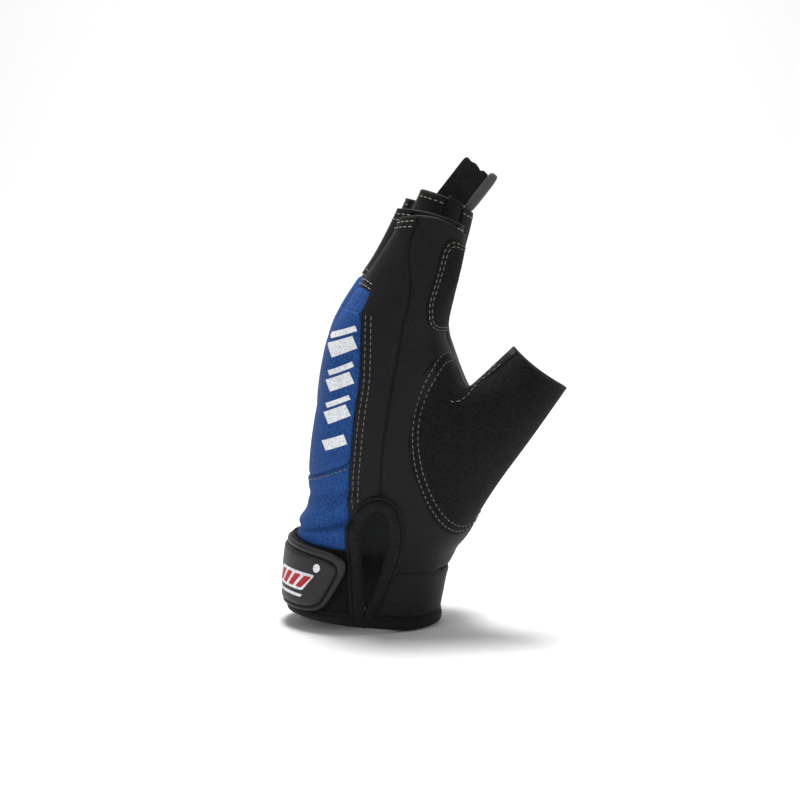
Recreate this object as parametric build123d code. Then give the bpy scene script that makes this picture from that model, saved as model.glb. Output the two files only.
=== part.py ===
"""A left-hand short-finger sailing glove, standing on its cuff.

Frame, in millimetres: +Z runs from the cuff to the fingertips, +X points out of the palm, and -Y is the
thumb side. The origin is the centre of the footprint, on the plane that the cuff stands on.
"""

from build123d import *

import functools
import math
import os

# ---------------------------------------------------------------- driving dimensions
WALL = 1.6  # palm and back cloth with its lining
PATCH = 1.1  # a second layer of suede sewn over the palm cloth
BINDING_PROUD = 0.8  # how far a rolled edge stands out of the cloth, inside and outside
FIT_GAP = 0.35  # between the strap and the cuff that it closes on

# The hand's form: height, back of the hand, palm, half the breadth, squareness of the section.
HAND_FORM = [
    (-2.0, -55.0, 6.2, 28.6, 2.1),
    (12.0, -55.6, 8.4, 28.2, 2.1),
    (27.0, -54.4, 11.0, 29.0, 2.1),
    (45.0, -50.6, 20.6, 34.0, 2.2),
    (70.0, -47.4, 23.6, 38.6, 2.5),
    (100.0, -44.2, 19.8, 42.0, 3.0),
    (124.0, -39.4, 12.6, 43.2, 4.0),
    (150.0, -30.0, 12.6, 43.2, 4.0),
]
BACK_LIP, PALM_LIP = 138.0, 110.0  # how high the hand's shell reaches behind and before the fingers

# Each finger turns about one line across the knuckles.
KNUCKLE_X, KNUCKLE_Z = -13.0, 126.0
FINGER_SHELL_DEPTH = 12.5  # how far a finger's stall reaches into the hand, below the knuckle line
# name: centre across the hand, half the width, radius at the knuckle, lean in degrees, length from the
# knuckle to the hem, half the depth at the hem
FINGERS = {
    "index": (-30.8, 9.5, 20.6, 21.0, 44.0, 14.2),
    "middle": (-10.4, 9.6, 21.0, 18.0, 46.5, 14.2),
    "ring": (10.0, 9.6, 21.0, 23.0, 54.5, 12.4),
    "little": (29.8, 9.0, 19.6, 17.5, 50.5, 11.6),
}
FOURCHETTE_SHARE = 0.52  # the side wall's share of a finger's depth

# The thumb's stall turns about a line through the ball of the thumb.
THUMB_X, THUMB_Y, THUMB_Z = 12.0, -25.0, 64.0
THUMB_RADIUS = 19.4
THUMB_BREADTH = 12.8
THUMB_LEAN = 38.0
THUMB_LENGTH = 60.5
THUMB_TIP = (14.3, 11.4)
THUMB_SHELL_DEPTH = 15.0
THUMB_HEM = 4.0
THUMB_SWING = (-10, 12)  # degrees, towards the fingers and away from them
THUMB_CLEARANCE = 0.7

# Cuff, strap and vent.
LOOP_BAND_TOP = 33.0
PALM_BAND_TOP = 26.5
BINDING_HEIGHT = 4.6
CUFF_RISE_X, CUFF_RISE = -35.0, 0.22  # behind this line the cuff's edge rises, by this much per millimetre
STRAP_LOW, STRAP_HIGH = 10.5, 34.0
STRAP_HINGE = (-24.0, 31.4)
ANCHOR_GAP = 1.8  # between the sewn end and the part of the strap that folds open
PEEL_HINGE = (-50.4, 19.4)
TAB_END_X = -34.3
VENT_X, VENT_TOP, VENT_RADIUS = -20.1, 45.8, 5.7
VENT_FOOT_X, VENT_FOOT_HALF = -24.3, 1.5
VENT_BINDING = 4.4

# Seams on the side of the hand, as height against distance towards the palm.
BACK_SEAM = [(-5, -28.5), (48, -28.5), (58, -31.8), (93, -28.7), (134, -26.3), (160, -22.0)]
SIDE_SEAM = [(-5, -18.0), (58, -18.0), (84, -16.0), (118, -10.4), (160, -4.8)]
PALM_SEAM = [(-5, 1.0), (40, 9.0), (100, 8.5), (160, 6.0)]
FAR_BACK_SEAM = [(-5, -30.0), (60, -30.5), (110, -27.0), (160, -20.0)]
FAR_PALM_SEAM = [(-5, -4.0), (40, 3.0), (100, 2.0), (160, 0.0)]
YOKE_SEAM_Z = 70.0  # across the back, between the two blue panels

# The pull-off tab, from the point where its strip crosses the ring finger's hem.
PULL_TAB_FOOT = (12.6, 179.4)
PULL_TAB_LEAN = 38.0
PULL_STRIP = (11.6, 1.4, 7.0, 15.0)  # width, thickness, depth below the hem, height above it
PULL_GRIP = (4.2, 3.2, 2.5, 15.8)  # width, thickness, where it starts, height

BEYOND = 90.0  # past the object in any direction


# ---------------------------------------------------------------- forms
def section(x, y, z, half_x, half_y, power=2.0, tilt=0.0, count=10):
    """A closed outline round (x, y, z), squarer as power grows, tilted about Y in degrees."""
    lean = math.radians(tilt)
    points = []
    for i in range(count):
        turn = 2 * math.pi * i / count
        c, s = math.cos(turn), math.sin(turn)
        along = half_x * math.copysign(abs(c) ** (2 / power), c)
        across = half_y * math.copysign(abs(s) ** (2 / power), s)
        points.append((x + along * math.cos(lean), y + across, z - along * math.sin(lean)))
    return make_face(Spline(*points, periodic=True))


@functools.lru_cache(maxsize=None)
def hand_form(grow=0.0):
    """The hand's outside grown by a distance: negative for what lies within."""
    sections = []
    for z, back, palm, half_width, power in HAND_FORM:
        depth = (palm - back) / 2 + grow
        sections.append(section((back + palm) / 2, 0, z, depth, half_width + grow, power, count=16))
    return loft(sections)


@functools.lru_cache(maxsize=None)
def shell(outer_grow, inner_grow):
    """The layer of the hand between two distances from its outside."""
    return hand_form(outer_grow) - hand_form(inner_grow)


def plate(points, y_low, y_high):
    """A flat outline in X and Z, as a block from y_low to y_high."""
    face = make_face(Polyline(*[(x, y_high, z) for x, z in points], close=True))
    return extrude(face, amount=y_high - y_low, dir=(0, -1, 0))


def behind(seam, y_low, y_high):
    """Everything on the back's side of a seam."""
    return plate([(x, z) for z, x in seam] + [(-BEYOND, seam[-1][0]), (-BEYOND, seam[0][0])], y_low, y_high)


def below_cuff_edge(height):
    """Everything under the cuff's edge, raised by a height. The edge climbs towards the back of the hand."""
    rise = height + CUFF_RISE * (BEYOND + CUFF_RISE_X)
    outline = [(BEYOND, height), (CUFF_RISE_X, height), (-BEYOND, rise), (-BEYOND, -BEYOND), (BEYOND, -BEYOND)]
    return plate(outline, -BEYOND, BEYOND)


def slab(z_low, z_high):
    """Everything between two heights."""
    return Pos(0, 0, (z_low + z_high) / 2) * Box(4 * BEYOND, 4 * BEYOND, z_high - z_low)


def on_axis(base, lean, distance):
    """The point at a distance from base, along the direction that leans from +Z towards +X."""
    x, z = base
    angle = math.radians(lean)
    return x + distance * math.sin(angle), z + distance * math.cos(angle)


def stall(inset, base, y, lean, stations, foot):
    """A finger's or thumb's solid, round about its joint below it and lofted out to the hem above it.

    stations holds (distance along the leaning axis, half the depth, half the breadth), starting at the
    joint, and foot is how far the round end reaches below the joint.
    """
    _, radius, breadth = stations[0]
    rounds = []
    for drop in (foot, 0.5 * foot):
        share = math.sqrt(1 - (drop / radius) ** 2)
        rounds.append((-drop, share * radius, share * breadth))
    sections = []
    for distance, depth, breadth in rounds + stations:
        x, z = on_axis(base, lean, distance)
        sections.append(section(x, y, z, depth - inset, breadth - inset, tilt=lean))
    return loft(sections)


def finger_solid(name, inset):
    y, half_width, radius, lean, length, hem_depth = FINGERS[name]
    stations = [
        (0, radius, half_width),
        (0.42 * length, 0.45 * radius + 0.5 * hem_depth, half_width),
        (0.70 * length, 0.15 * radius + 0.84 * hem_depth, half_width),
        (length, hem_depth, 0.96 * half_width),
    ]
    return stall(inset, (KNUCKLE_X, KNUCKLE_Z), y, lean, stations, FINGER_SHELL_DEPTH)


def finger_parts(name):
    """A finger's stall cut into its back, palm and two side walls."""
    y, half_width, radius, lean, length, hem_depth = FINGERS[name]
    tube = finger_solid(name, 0) - finger_solid(name, WALL)
    top = on_axis((KNUCKLE_X, KNUCKLE_Z), lean, length + 20)
    top_half, foot_half = FOURCHETTE_SHARE * hem_depth, FOURCHETTE_SHARE * radius
    middle_back = [
        (KNUCKLE_X - foot_half, KNUCKLE_Z - BEYOND),
        (KNUCKLE_X - foot_half, KNUCKLE_Z),
        (top[0] - top_half, top[1]),
    ]
    middle_palm = [
        (KNUCKLE_X + foot_half, KNUCKLE_Z - BEYOND),
        (KNUCKLE_X + foot_half, KNUCKLE_Z),
        (top[0] + top_half, top[1]),
    ]
    low, high = y - half_width - 1, y + half_width + 1
    back = tube & plate(middle_back + [(-BEYOND, top[1]), (-BEYOND, KNUCKLE_Z - BEYOND)], low, high)
    palm = tube & plate(middle_palm + [(BEYOND, top[1]), (BEYOND, KNUCKLE_Z - BEYOND)], low, high)
    walls = plate(middle_back + middle_palm[::-1], low, y), plate(middle_back + middle_palm[::-1], y, high)
    return {
        f"{name}_back": back,
        f"{name}_palm": palm,
        f"{name}_near_wall": tube & walls[0],
        f"{name}_far_wall": tube & walls[1],
    }


def index_pad():
    """The strip of suede sewn over the palm edge of the index finger, where a rope runs."""
    y, half_width, _, lean, length, _ = FINGERS["index"]
    layer = finger_solid("index", -PATCH) - finger_solid("index", 0)
    low = on_axis((KNUCKLE_X, KNUCKLE_Z), lean, 0.28 * length)
    high = on_axis((KNUCKLE_X, KNUCKLE_Z), lean, 0.90 * length)
    outline = [
        (low[0] + 8.0, low[1] - 3.0),
        (high[0] + 4.4, high[1] - 1.6),
        (high[0] + 30.0, high[1] - 10.0),
        (low[0] + 30.0, low[1] - 10.0),
    ]
    return layer & plate(outline, y - half_width + 0.2, y + 0.55 * half_width)


def thumb_solid(inset, turn=0.0, foot=THUMB_SHELL_DEPTH):
    stations = [
        (0, THUMB_RADIUS, THUMB_BREADTH),
        (0.45 * THUMB_LENGTH, 0.93 * THUMB_RADIUS, 0.97 * THUMB_BREADTH),
        (THUMB_LENGTH, *THUMB_TIP),
    ]
    return stall(inset, (THUMB_X, THUMB_Z), THUMB_Y, THUMB_LEAN + turn, stations, foot)


def thumb_parts():
    """The thumb's stall: a suede outer half, a cloth inner half and a hem."""
    tube = thumb_solid(0) - thumb_solid(WALL)
    x, z = on_axis((THUMB_X, THUMB_Z), THUMB_LEAN, THUMB_LENGTH - THUMB_HEM)
    place = Pos(x, THUMB_Y, z) * Rot(0, THUMB_LEAN, 0)
    hem_zone = place * Pos(0, 0, BEYOND) * Box(4 * BEYOND, 4 * BEYOND, 2 * BEYOND)
    near = Pos(0, THUMB_Y - BEYOND, 0) * Box(8 * BEYOND, 2 * BEYOND, 8 * BEYOND)
    return {
        "thumb_outer": (tube - hem_zone) & near,
        "thumb_inner": (tube - hem_zone) - near,
        "thumb_hem": tube & hem_zone,
    }


def thumb_room():
    """What the thumb's stall passes through over its whole swing, as solids to take away one by one."""
    low, high = THUMB_SWING
    foot = THUMB_SHELL_DEPTH + 2 * THUMB_CLEARANCE
    return [thumb_solid(-THUMB_CLEARANCE, turn, foot) for turn in (low, low / 2, 0, high / 2, high)]


def less(shape, *tools):
    """A shape with several tools taken away in turn."""
    for tool in tools:
        shape = shape - tool
    return shape


# ---------------------------------------------------------------- vent and cuff
def vent_outline(grow):
    """The keyhole vent in X and Z: a round head over a slit that narrows to the cuff's edge."""
    radius = VENT_RADIUS + grow
    foot_left = VENT_FOOT_X - VENT_FOOT_HALF - grow
    foot_right = VENT_FOOT_X + VENT_FOOT_HALF + grow
    head = VENT_TOP
    low = -6.0
    left = Line((foot_left, low), (VENT_X - radius, head - 6))
    left_up = Line(left @ 1, (VENT_X - radius, head))
    dome = ThreePointArc(left_up @ 1, (VENT_X, head + radius), (VENT_X + radius, head))
    right_down = Line(dome @ 1, (VENT_X + radius, head - 6))
    right = Line(right_down @ 1, (foot_right, 8.0))
    foot = Polyline(right @ 1, (foot_right, low), (foot_left, low))
    return make_face([left, left_up, dome, right_down, right, foot])


def vent_block(grow):
    """The vent's outline as a block through the thumb-side wall."""
    face = Plane.XZ * vent_outline(grow)
    return extrude(face, amount=60, dir=(0, -1, 0))


def strap_piece(outer_grow, inner_grow, z_low, z_high, points):
    """A layer of the strap: the hand's form between two distances, inside a plan outline."""
    plan = extrude(make_face(Polyline(*points, close=True)), amount=z_high - z_low)
    return shell(outer_grow, inner_grow) & (Pos(0, 0, z_low) * plan)


# ---------------------------------------------------------------- the pieces
def hand_panels():
    cloth = shell(0, -WALL)
    lips = [(-BEYOND, BACK_LIP), (-27, BACK_LIP), (10, PALM_LIP + 3), (BEYOND, PALM_LIP - 2)]
    cloth -= plate(lips + [(BEYOND, 200), (-BEYOND, 200)], -BEYOND, BEYOND)
    cloth -= below_cuff_edge(BINDING_HEIGHT)
    cloth -= vent_block(VENT_BINDING)
    room = thumb_room()
    near_back = behind(BACK_SEAM, -BEYOND, 0)
    near_side = behind(SIDE_SEAM, -BEYOND, 0)
    near_palm = behind(PALM_SEAM, -BEYOND, 0)
    far_back = behind(FAR_BACK_SEAM, 0, BEYOND)
    far_side = behind(FAR_PALM_SEAM, 0, BEYOND)

    back_half = near_back + far_back
    back = (cloth - slab(-5, LOOP_BAND_TOP)) & back_half
    lower_back = slab(LOOP_BAND_TOP, YOKE_SEAM_Z)
    loop_zone = back_half & slab(-5, LOOP_BAND_TOP)
    palm_zone = slab(-5, PALM_BAND_TOP) - back_half
    side_zone = slab(PALM_BAND_TOP, 170)
    thick = shell(BINDING_PROUD, -WALL - BINDING_PROUD)
    trimmed = thick - below_cuff_edge(0)
    hem = (trimmed & below_cuff_edge(BINDING_HEIGHT)) - vent_block(VENT_BINDING)
    vent_rim = (trimmed & vent_block(VENT_BINDING)) - vent_block(0)
    return {
        "back_panel_upper": back - lower_back,
        "back_panel_lower": back & lower_back,
        "thumb_side_gusset": less(cloth & side_zone & (near_side - near_back), *room),
        "thumb_side_palm": less(cloth & side_zone & (near_palm - near_side), *room),
        "palm_panel": less(cloth & side_zone, near_palm, far_side, *room),
        "little_side_gusset": cloth & side_zone & (far_side - far_back),
        "cuff_loop_band": cloth & loop_zone,
        "cuff_palm_band": cloth & palm_zone,
        "cuff_binding_palm": hem - back_half,
        "cuff_binding_back": hem & back_half,
        "vent_binding": vent_rim,
        "inner_cuff_facing": shell(-WALL - BINDING_PROUD, -WALL - 2 * BINDING_PROUD)
        & slab(LOOP_BAND_TOP / 3, LOOP_BAND_TOP - 2)
        & behind([(-5, 4), (60, 4)], 2, BEYOND),
        "thenar_patch": thenar_patch(room),
        "palm_patch": palm_patch(room),
    }


def thenar_patch(room):
    """Suede over the ball of the thumb, with the long curved edge that the double seam follows."""
    edge = ThreePointArc((14, 116.5), (-4.2, 78), (21, 38.5))
    close = Polyline((21, 38.5), (60, 38.5), (60, 116.5), (14, 116.5))
    face = Plane.XZ * make_face([edge, close])
    layer = shell(PATCH, 0)
    return less(layer & extrude(face, amount=BEYOND, dir=(0, -1, 0)), *room)


def palm_patch(room):
    """Suede across the palm, under the fingers and down to the heel of the hand."""
    outline = [(2, 40), (30, 40), (30, 108), (2, 108)]
    return less(shell(PATCH, 0) & plate(outline, 3, 34), *room)


def back_graphic():
    """A printed chevron flash that runs up the back panel, in place of any lettering."""
    layer = shell(0.25, 0)
    stripes = []
    for i in range(3):
        z = 84 + 15 * i
        outline = [(-60, z), (-31, z + 4), (-31, z + 13), (-60, z + 9)]
        stripes.append(layer & plate(outline, -34, -12))
    return Compound(stripes)


def strap_pieces():
    """The wrist strap from its seam on the little-finger side to the free end by the vent."""
    hx, hy = STRAP_HINGE
    px, py = PEEL_HINGE
    anchor = [(hx + ANCHOR_GAP, 60), (hx + ANCHOR_GAP, 10), (hx + 12, 10), (hx + 12, 60)]
    root = [(hx, 10), (hx, 60), (-110, 60), (px - 20, py + 4.5), (px + 20, py - 3.0)]
    free = [(px + 20, py - 3.6), (px - 20, py + 3.9), (-110, 0), (-110, -60), (TAB_END_X, -60), (TAB_END_X, -10)]
    rubber = [(px + 20, py - 4.6), (px - 20, py + 2.9), (-110, 0), (-110, -60), (TAB_END_X, -60), (TAB_END_X, -10)]
    face_end = TAB_END_X - 4.0
    face = [(px + 20, py - 8.0), (px - 20, py - 0.5), (-110, 0), (-110, -60), (face_end, -60), (face_end, -10)]
    emblem = [(px + 20, py - 14), (px - 20, py - 10), (-110, 0), (-110, -60), (face_end - 5, -60), (face_end - 5, 0)]
    hook, web, base, raised = FIT_GAP, FIT_GAP + 0.8, FIT_GAP + 2.2, FIT_GAP + 3.6
    band = (STRAP_LOW + 1, STRAP_HIGH - 1)
    return {
        "strap_anchor": strap_piece(web + 1.4, 0.02, *band, anchor),
        "strap_root": strap_piece(web + 1.4, web, *band, root),
        "strap_web": strap_piece(base, web, *band, free),
        "hook_patch": strap_piece(web, hook, STRAP_LOW + 2.5, STRAP_HIGH - 2.5, rubber),
        "rubber_tab_base": strap_piece(raised, base, STRAP_LOW, STRAP_HIGH, rubber),
        "rubber_tab_face": strap_piece(raised + 1.0, raised, STRAP_LOW + 3, STRAP_HIGH - 3, face),
        "tab_emblem": strap_piece(raised + 1.35, raised + 1.0, STRAP_LOW + 8, STRAP_HIGH - 8, emblem),
    }


def pull_tab_pieces():
    """The pull-off tab that rises out of the ring finger: a suede strip with a rubber grip down its edge."""
    x, z = PULL_TAB_FOOT
    place = Pos(x, FINGERS["ring"][0] + 1.5, z) * Rot(0, PULL_TAB_LEAN, 0)
    width, thickness, below, above = PULL_STRIP
    strip = Pos(0, 0, (above - below) / 2) * Box(width, thickness, above + below)
    grip_width, grip_thickness, start, top = PULL_GRIP
    grip = Pos((width + grip_width) / 2, 0, (start + top) / 2) * Box(grip_width, grip_thickness, top - start)
    corner = grip.edges().filter_by(Axis.Y).group_by(Axis.Z)[-1].sort_by(Axis.X)[-1]
    grip = fillet(corner, 1.8)
    return {"pull_tab_strip": place * strip, "pull_tab_grip": place * grip}


def build():
    parts = dict(hand_panels())
    parts["back_graphic"] = back_graphic()
    for name in FINGERS:
        parts.update(finger_parts(name))
    parts["index_pad"] = index_pad()
    parts.update(thumb_parts())
    parts.update(strap_pieces())
    parts.update(pull_tab_pieces())
    return parts


def main():
    os.makedirs("parts", exist_ok=True)
    low, high = [math.inf] * 3, [-math.inf] * 3
    for name, shape in build().items():
        solids = shape.solids()
        export_step(Compound(solids) if len(solids) > 1 else solids[0], f"parts/{name}.step")
        box = Compound(solids).bounding_box()
        low = [min(a, b) for a, b in zip(low, box.min)]
        high = [max(a, b) for a, b in zip(high, box.max)]
        print(name, len(solids), round(sum(s.volume for s in solids)))
    print("low", [round(v, 1) for v in low], "high", [round(v, 1) for v in high])


main()
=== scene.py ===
# %% [markdown]
# # A short-finger sailing glove, standing on its cuff
# The glove is a left-hand one, seen from the thumb side: the back of the hand is towards -X, the palm towards
# +X, and the thumb side towards -Y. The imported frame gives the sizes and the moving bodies, and everything that
# shows is cloth, so this script makes each cloth panel as a surface over one shared form of the hand.

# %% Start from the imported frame
import math
from functools import partial

import bpy
import numpy as np
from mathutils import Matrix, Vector


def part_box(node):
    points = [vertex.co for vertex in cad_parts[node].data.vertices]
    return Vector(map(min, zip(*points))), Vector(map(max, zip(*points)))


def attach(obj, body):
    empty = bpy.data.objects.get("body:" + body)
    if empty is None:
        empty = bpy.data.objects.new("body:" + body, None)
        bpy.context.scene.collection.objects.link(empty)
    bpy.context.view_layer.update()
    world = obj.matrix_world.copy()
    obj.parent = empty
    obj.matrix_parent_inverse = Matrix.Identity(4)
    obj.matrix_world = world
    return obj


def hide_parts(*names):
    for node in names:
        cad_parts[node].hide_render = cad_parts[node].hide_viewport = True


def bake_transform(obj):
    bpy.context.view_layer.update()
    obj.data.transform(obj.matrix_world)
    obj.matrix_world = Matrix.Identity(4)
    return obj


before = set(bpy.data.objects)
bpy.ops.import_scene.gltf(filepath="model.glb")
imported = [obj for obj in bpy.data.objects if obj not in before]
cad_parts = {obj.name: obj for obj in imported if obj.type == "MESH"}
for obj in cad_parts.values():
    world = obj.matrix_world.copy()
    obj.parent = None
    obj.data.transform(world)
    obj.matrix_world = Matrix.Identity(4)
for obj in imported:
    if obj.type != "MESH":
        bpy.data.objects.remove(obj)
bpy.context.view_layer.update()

# %% [markdown]
# ## The form of the hand
# A glove has no flat sides, so a stack of rounded sections is the natural description. Each section has a back
# point and a palm point in the XZ plane, half the breadth and a squareness. Between them every value follows a
# smooth curve, so any panel can ask for a point by its height along the hand and its angle around it.

# %% The hand's sections, in millimetres
MM = 0.001
HAND_LEVELS = np.array(
    [  # height, back x, back z, palm x, palm z, half the breadth, squareness
        [0, -55.8, 5.2, 5.9, 0, 28.0, 2.1],
        [13, -55.4, 15, 8.2, 12, 28.0, 2.1],
        [26, -54.6, 28, 11.6, 25, 28.8, 2.1],
        [33, -53.4, 35.4, 15.5, 32, 31.0, 2.1],
        [40, -51.4, 41.4, 20.4, 40, 33.0, 2.2],
        [50, -48.5, 50, 24.0, 50, 35.2, 2.25],
        [60, -48.0, 60, 25.4, 60, 37.2, 2.35],
        [72, -47.0, 72, 24.6, 72, 39.0, 2.5],
        [97, -44.0, 97, 19.5, 97, 42.0, 2.8],
        [110, -42.1, 110, 14.9, 109, 42.8, 3.0],
        [118, -40.2, 119, 12.4, 116.5, 43.0, 3.1],
        [125, -37.5, 126.7, 10.9, 121.5, 43.0, 3.2],
        [131, -34.1, 133.6, 10.5, 126, 43.0, 3.2],
    ]
)
HAND_TOP = 131.0
FINGER_CUTS = (-43.5, -21.3, -0.3, 19.4, 43.5)  # y of the walls between the fingers
VALLEY_WIDTH, VALLEY_DEPTH = 3.2, 0.10  # of the dips between the fingers: millimetres, and a share of the depth
CLOTH_FOLDS = (  # height, slope, depth and width of each fold in the lower blue cloth
    (48.5, 0.38, -1.5, 1.8), (44.0, 0.34, 1.6, 2.4), (55.5, 0.60, 1.4, 2.8), (60.5, 0.30, -0.7, 2.2),
    (84.0, -0.5, -0.3, 3.0),
)


def hermite(start, lead, end, trail, t):
    """A cubic curve from start, leaving along lead, to end, arriving along trail, at shares t."""
    return (
        (2 * t**3 - 3 * t**2 + 1) * start + (t**3 - 2 * t**2 + t) * lead
        + (3 * t**2 - 2 * t**3) * end + (t**3 - t**2) * trail
    )


def through(knots, rows, t):
    """A smooth curve through rows at knots: cubic pieces whose slopes are the rows' own central differences."""
    knots, rows, t = np.asarray(knots, float), np.asarray(rows, float), np.asarray(t, float)
    slopes = np.gradient(rows, knots, axis=0)
    i = np.clip(np.searchsorted(knots, t, side="right") - 1, 0, len(knots) - 2)
    span = knots[i + 1] - knots[i]
    s = np.clip((t - knots[i]) / span, 0, 1)
    if rows.ndim > 1:
        s, span = s[..., None], span[..., None]
    a, b, ma, mb = rows[i], rows[i + 1], slopes[i] * span, slopes[i + 1] * span
    return hermite(a, ma, b, mb, s)


def smooth(low, high, t):
    """0 below low, 1 above high, and an S-shaped rise between them."""
    s = np.clip((t - low) / (high - low), 0, 1)
    return s * s * (3 - 2 * s)


def unit(v):
    """Vectors scaled to a length of one."""
    return v / np.linalg.norm(v, axis=-1, keepdims=True)


def value(edge, where):
    """An edge's value: the edge itself if it is a number, or what it gives there if it is a function."""
    return edge(where) if callable(edge) else edge


def normal_away(surface, a, b, inner, steps=(0.5, 0.5)):
    """A surface's point at (a, b) and its unit normal by small steps, turned away from the inner point."""
    p = surface(a, b)
    n = unit(np.cross(surface(a + steps[0], b) - p, surface(a, b + steps[1]) - p))
    return p, n * np.sign(np.sum(n * (p - value(inner, p)), -1, keepdims=True))


def valleys(y):
    """1 on the lines between two fingers, falling to 0 some millimetres away: a sum of bell curves over y."""
    return sum(np.exp(-(((y - cut) / VALLEY_WIDTH) ** 2)) for cut in FINGER_CUTS[1:4])


def superellipse(angle, power):
    """The cosine and sine of an angle, and the superellipse's radius there: (|c|^p + |s|^p)^(-1/p)."""
    c, s = np.cos(angle), np.sin(angle)
    return c, s, (np.abs(c) ** power + np.abs(s) ** power) ** (-1 / power)


def hand_at(angle, height):
    """The hand's outside at an angle (0 thumb side, 90 palm, -90 back) and a height, as a polar superellipse."""
    angle, height = np.broadcast_arrays(np.radians(angle), np.asarray(height, float))
    row = through(HAND_LEVELS[:, 0], HAND_LEVELS[:, 1:], height)
    xb, zb, xp, zp, breadth, power = np.moveaxis(row, -1, 0)
    c, s, radius = superellipse(angle, power)
    y = -breadth * radius * c
    depth = radius * s * (1 - VALLEY_DEPTH * smooth(112, HAND_TOP, height) * valleys(y))
    x = (xb + xp) / 2 + depth * (xp - xb) / 2
    z = (zb + zp) / 2 + depth * (zp - zb) / 2
    return np.stack([x, y, z], -1)


def slack(p):
    """How far soft cloth swells or sinks at a point, in millimetres: a few crossing waves of unlike lengths."""
    x, y, z = p[..., 0], p[..., 1], p[..., 2]
    broad = 0.35 * np.sin(0.11 * z + 0.09 * x + 1.0) * np.sin(0.13 * y + 0.07 * z)
    back = smooth(-24, -32, x) * smooth(37, 43, z)
    folds = sum(depth * np.exp(-(((z - height - slope * (x + 30)) / width) ** 2))
                for height, slope, depth, width in CLOTH_FOLDS)
    crease = -0.5 * smooth(4, 14, x) * np.exp(-(((z - 30.5 - 0.25 * (x - 10)) / 2.2) ** 2))
    return broad + back * folds + crease


def normals_of(points, inside):
    """Unit normals of a grid of points from its two directions, turned away from the points inside."""
    across = np.gradient(points, axis=1)
    along = np.gradient(points, axis=0)
    n = np.cross(across, along)
    n /= np.linalg.norm(n, axis=-1, keepdims=True) + 1e-12
    sign = np.sign(np.sum(n * (points - inside), -1).mean())
    return n * (sign if sign else 1)


def core(points):
    """A point well inside the hand at each point's height, for telling outwards from inwards."""
    inner = points.copy()
    inner[..., 0] = np.interp(points[..., 2], [0, 60, 130, 180], [-23, -12, -11, 5])
    inner[..., 1] *= 0.45
    return inner


# %% [markdown]
# ## From numbers to meshes
# Each piece is worked out as one array of points and handed to Blender in one go. A panel is a sheet with a
# thickness, so it gets a Solidify modifier. Where two panels are sewn together, the cloth dips into the seam, and
# that dip is in the points themselves, so that it shows in the outline too.

# %% Mesh helpers
def to_linear(hexed):
    """An sRGB hex colour as linear red, green, blue and 1."""
    channels = [int(hexed[i : i + 2], 16) / 255 for i in (1, 3, 5)]
    return tuple(c / 12.92 if c <= 0.04045 else ((c + 0.055) / 1.055) ** 2.4 for c in channels) + (1.0,)


def add_mesh(name, points, faces, material):
    """A mesh object at the origin from points in millimetres and faces as rows of point numbers."""
    mesh = bpy.data.meshes.new(name)
    mesh.from_pydata((np.asarray(points).reshape(-1, 3) * MM).tolist(), [], [list(map(int, f)) for f in faces])
    mesh.polygons.foreach_set("use_smooth", [True] * len(mesh.polygons))
    mesh.materials.append(material)
    mesh.update()
    obj = bpy.data.objects.new(name, mesh)
    bpy.context.scene.collection.objects.link(obj)
    return obj


def grid_faces(rows, columns, wrap=False, keep=None, flip=False, caps=False, ring=False):
    """The four-sided faces of a grid of points, joined round its columns if wrap and round its rows if ring. Only
    those in keep stay, flip turns them over, and caps closes the first and last rows by a face each."""
    i, j = np.indices((rows if ring else rows - 1, columns if wrap else columns - 1))
    k, above = (j + 1) % columns, (i + 1) % rows
    faces = np.stack([i * columns + j, i * columns + k, above * columns + k, above * columns + j], -1)
    if keep is not None:
        faces = faces[keep[: faces.shape[0], : faces.shape[1]]]
    faces = faces.reshape(-1, 4)
    if caps:
        return faces.tolist() + [list(range(columns))[::-1], list(range((rows - 1) * columns, rows * columns))]
    return faces[:, ::-1] if flip else faces


def settle(obj, body, nodes=()):
    """Attaches a finished piece to the body it rides on, or, when it is given a bend between two bodies, only bakes
    it in place, and hides the parts that it stands for.
    """
    if isinstance(body, tuple):
        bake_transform(obj)
    else:
        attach(obj, body)
    if nodes:
        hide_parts(*nodes)
    return obj


SEAM_DIP, SEAM_REACH = 0.85, 0.9  # how deep and how far a sewn edge sinks, in millimetres


def cloth(name, points, material, body, nodes=(), slot=None, thick=1.2, inside=None, seams="", keep=None,
          lift=0.0, wavy=1.0, left_rows=0):
    """A panel over a grid of points: swollen a little, dipped along its sewn edges and given a thickness inwards.
    The letters in seams are its sewn edges (l, r, t and b), of which the left one can end after left_rows."""
    n = normals_of(points, core(points) if inside is None else inside)
    rows, columns = points.shape[:2]
    offset = wavy * slack(points) + lift
    i, j = np.indices((rows, columns))
    step_up = np.linalg.norm(np.diff(points, axis=0), axis=-1).mean()
    step_across = np.linalg.norm(np.diff(points, axis=1), axis=-1).mean()
    for letter, distance in (
        ("b", i * step_up), ("t", (rows - 1 - i) * step_up),
        ("l", j * step_across), ("r", (columns - 1 - j) * step_across),
    ):
        if letter in seams:
            dip = SEAM_DIP * np.exp(-((distance / SEAM_REACH) ** 2))
            if letter == "l" and left_rows:
                dip = dip * (i < left_rows)
            offset = offset - dip
    moved = points + n * offset[..., None]
    cross = np.cross(np.gradient(points, axis=1), np.gradient(points, axis=0))
    flip = float(np.sum(cross * n)) < 0
    obj = add_mesh(name, moved, grid_faces(rows, columns, keep=keep, flip=flip), material)
    modifier = obj.modifiers.new("thickness", "SOLIDIFY")
    modifier.thickness = thick * MM
    modifier.offset = -1
    return settle(obj, body, nodes)


def grid(rows, columns):
    """Two arrays of shares from 0 to 1, up the rows and across the columns."""
    v, u = np.meshgrid(np.linspace(0, 1, rows), np.linspace(0, 1, columns), indexing="ij")
    return v, u


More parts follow.
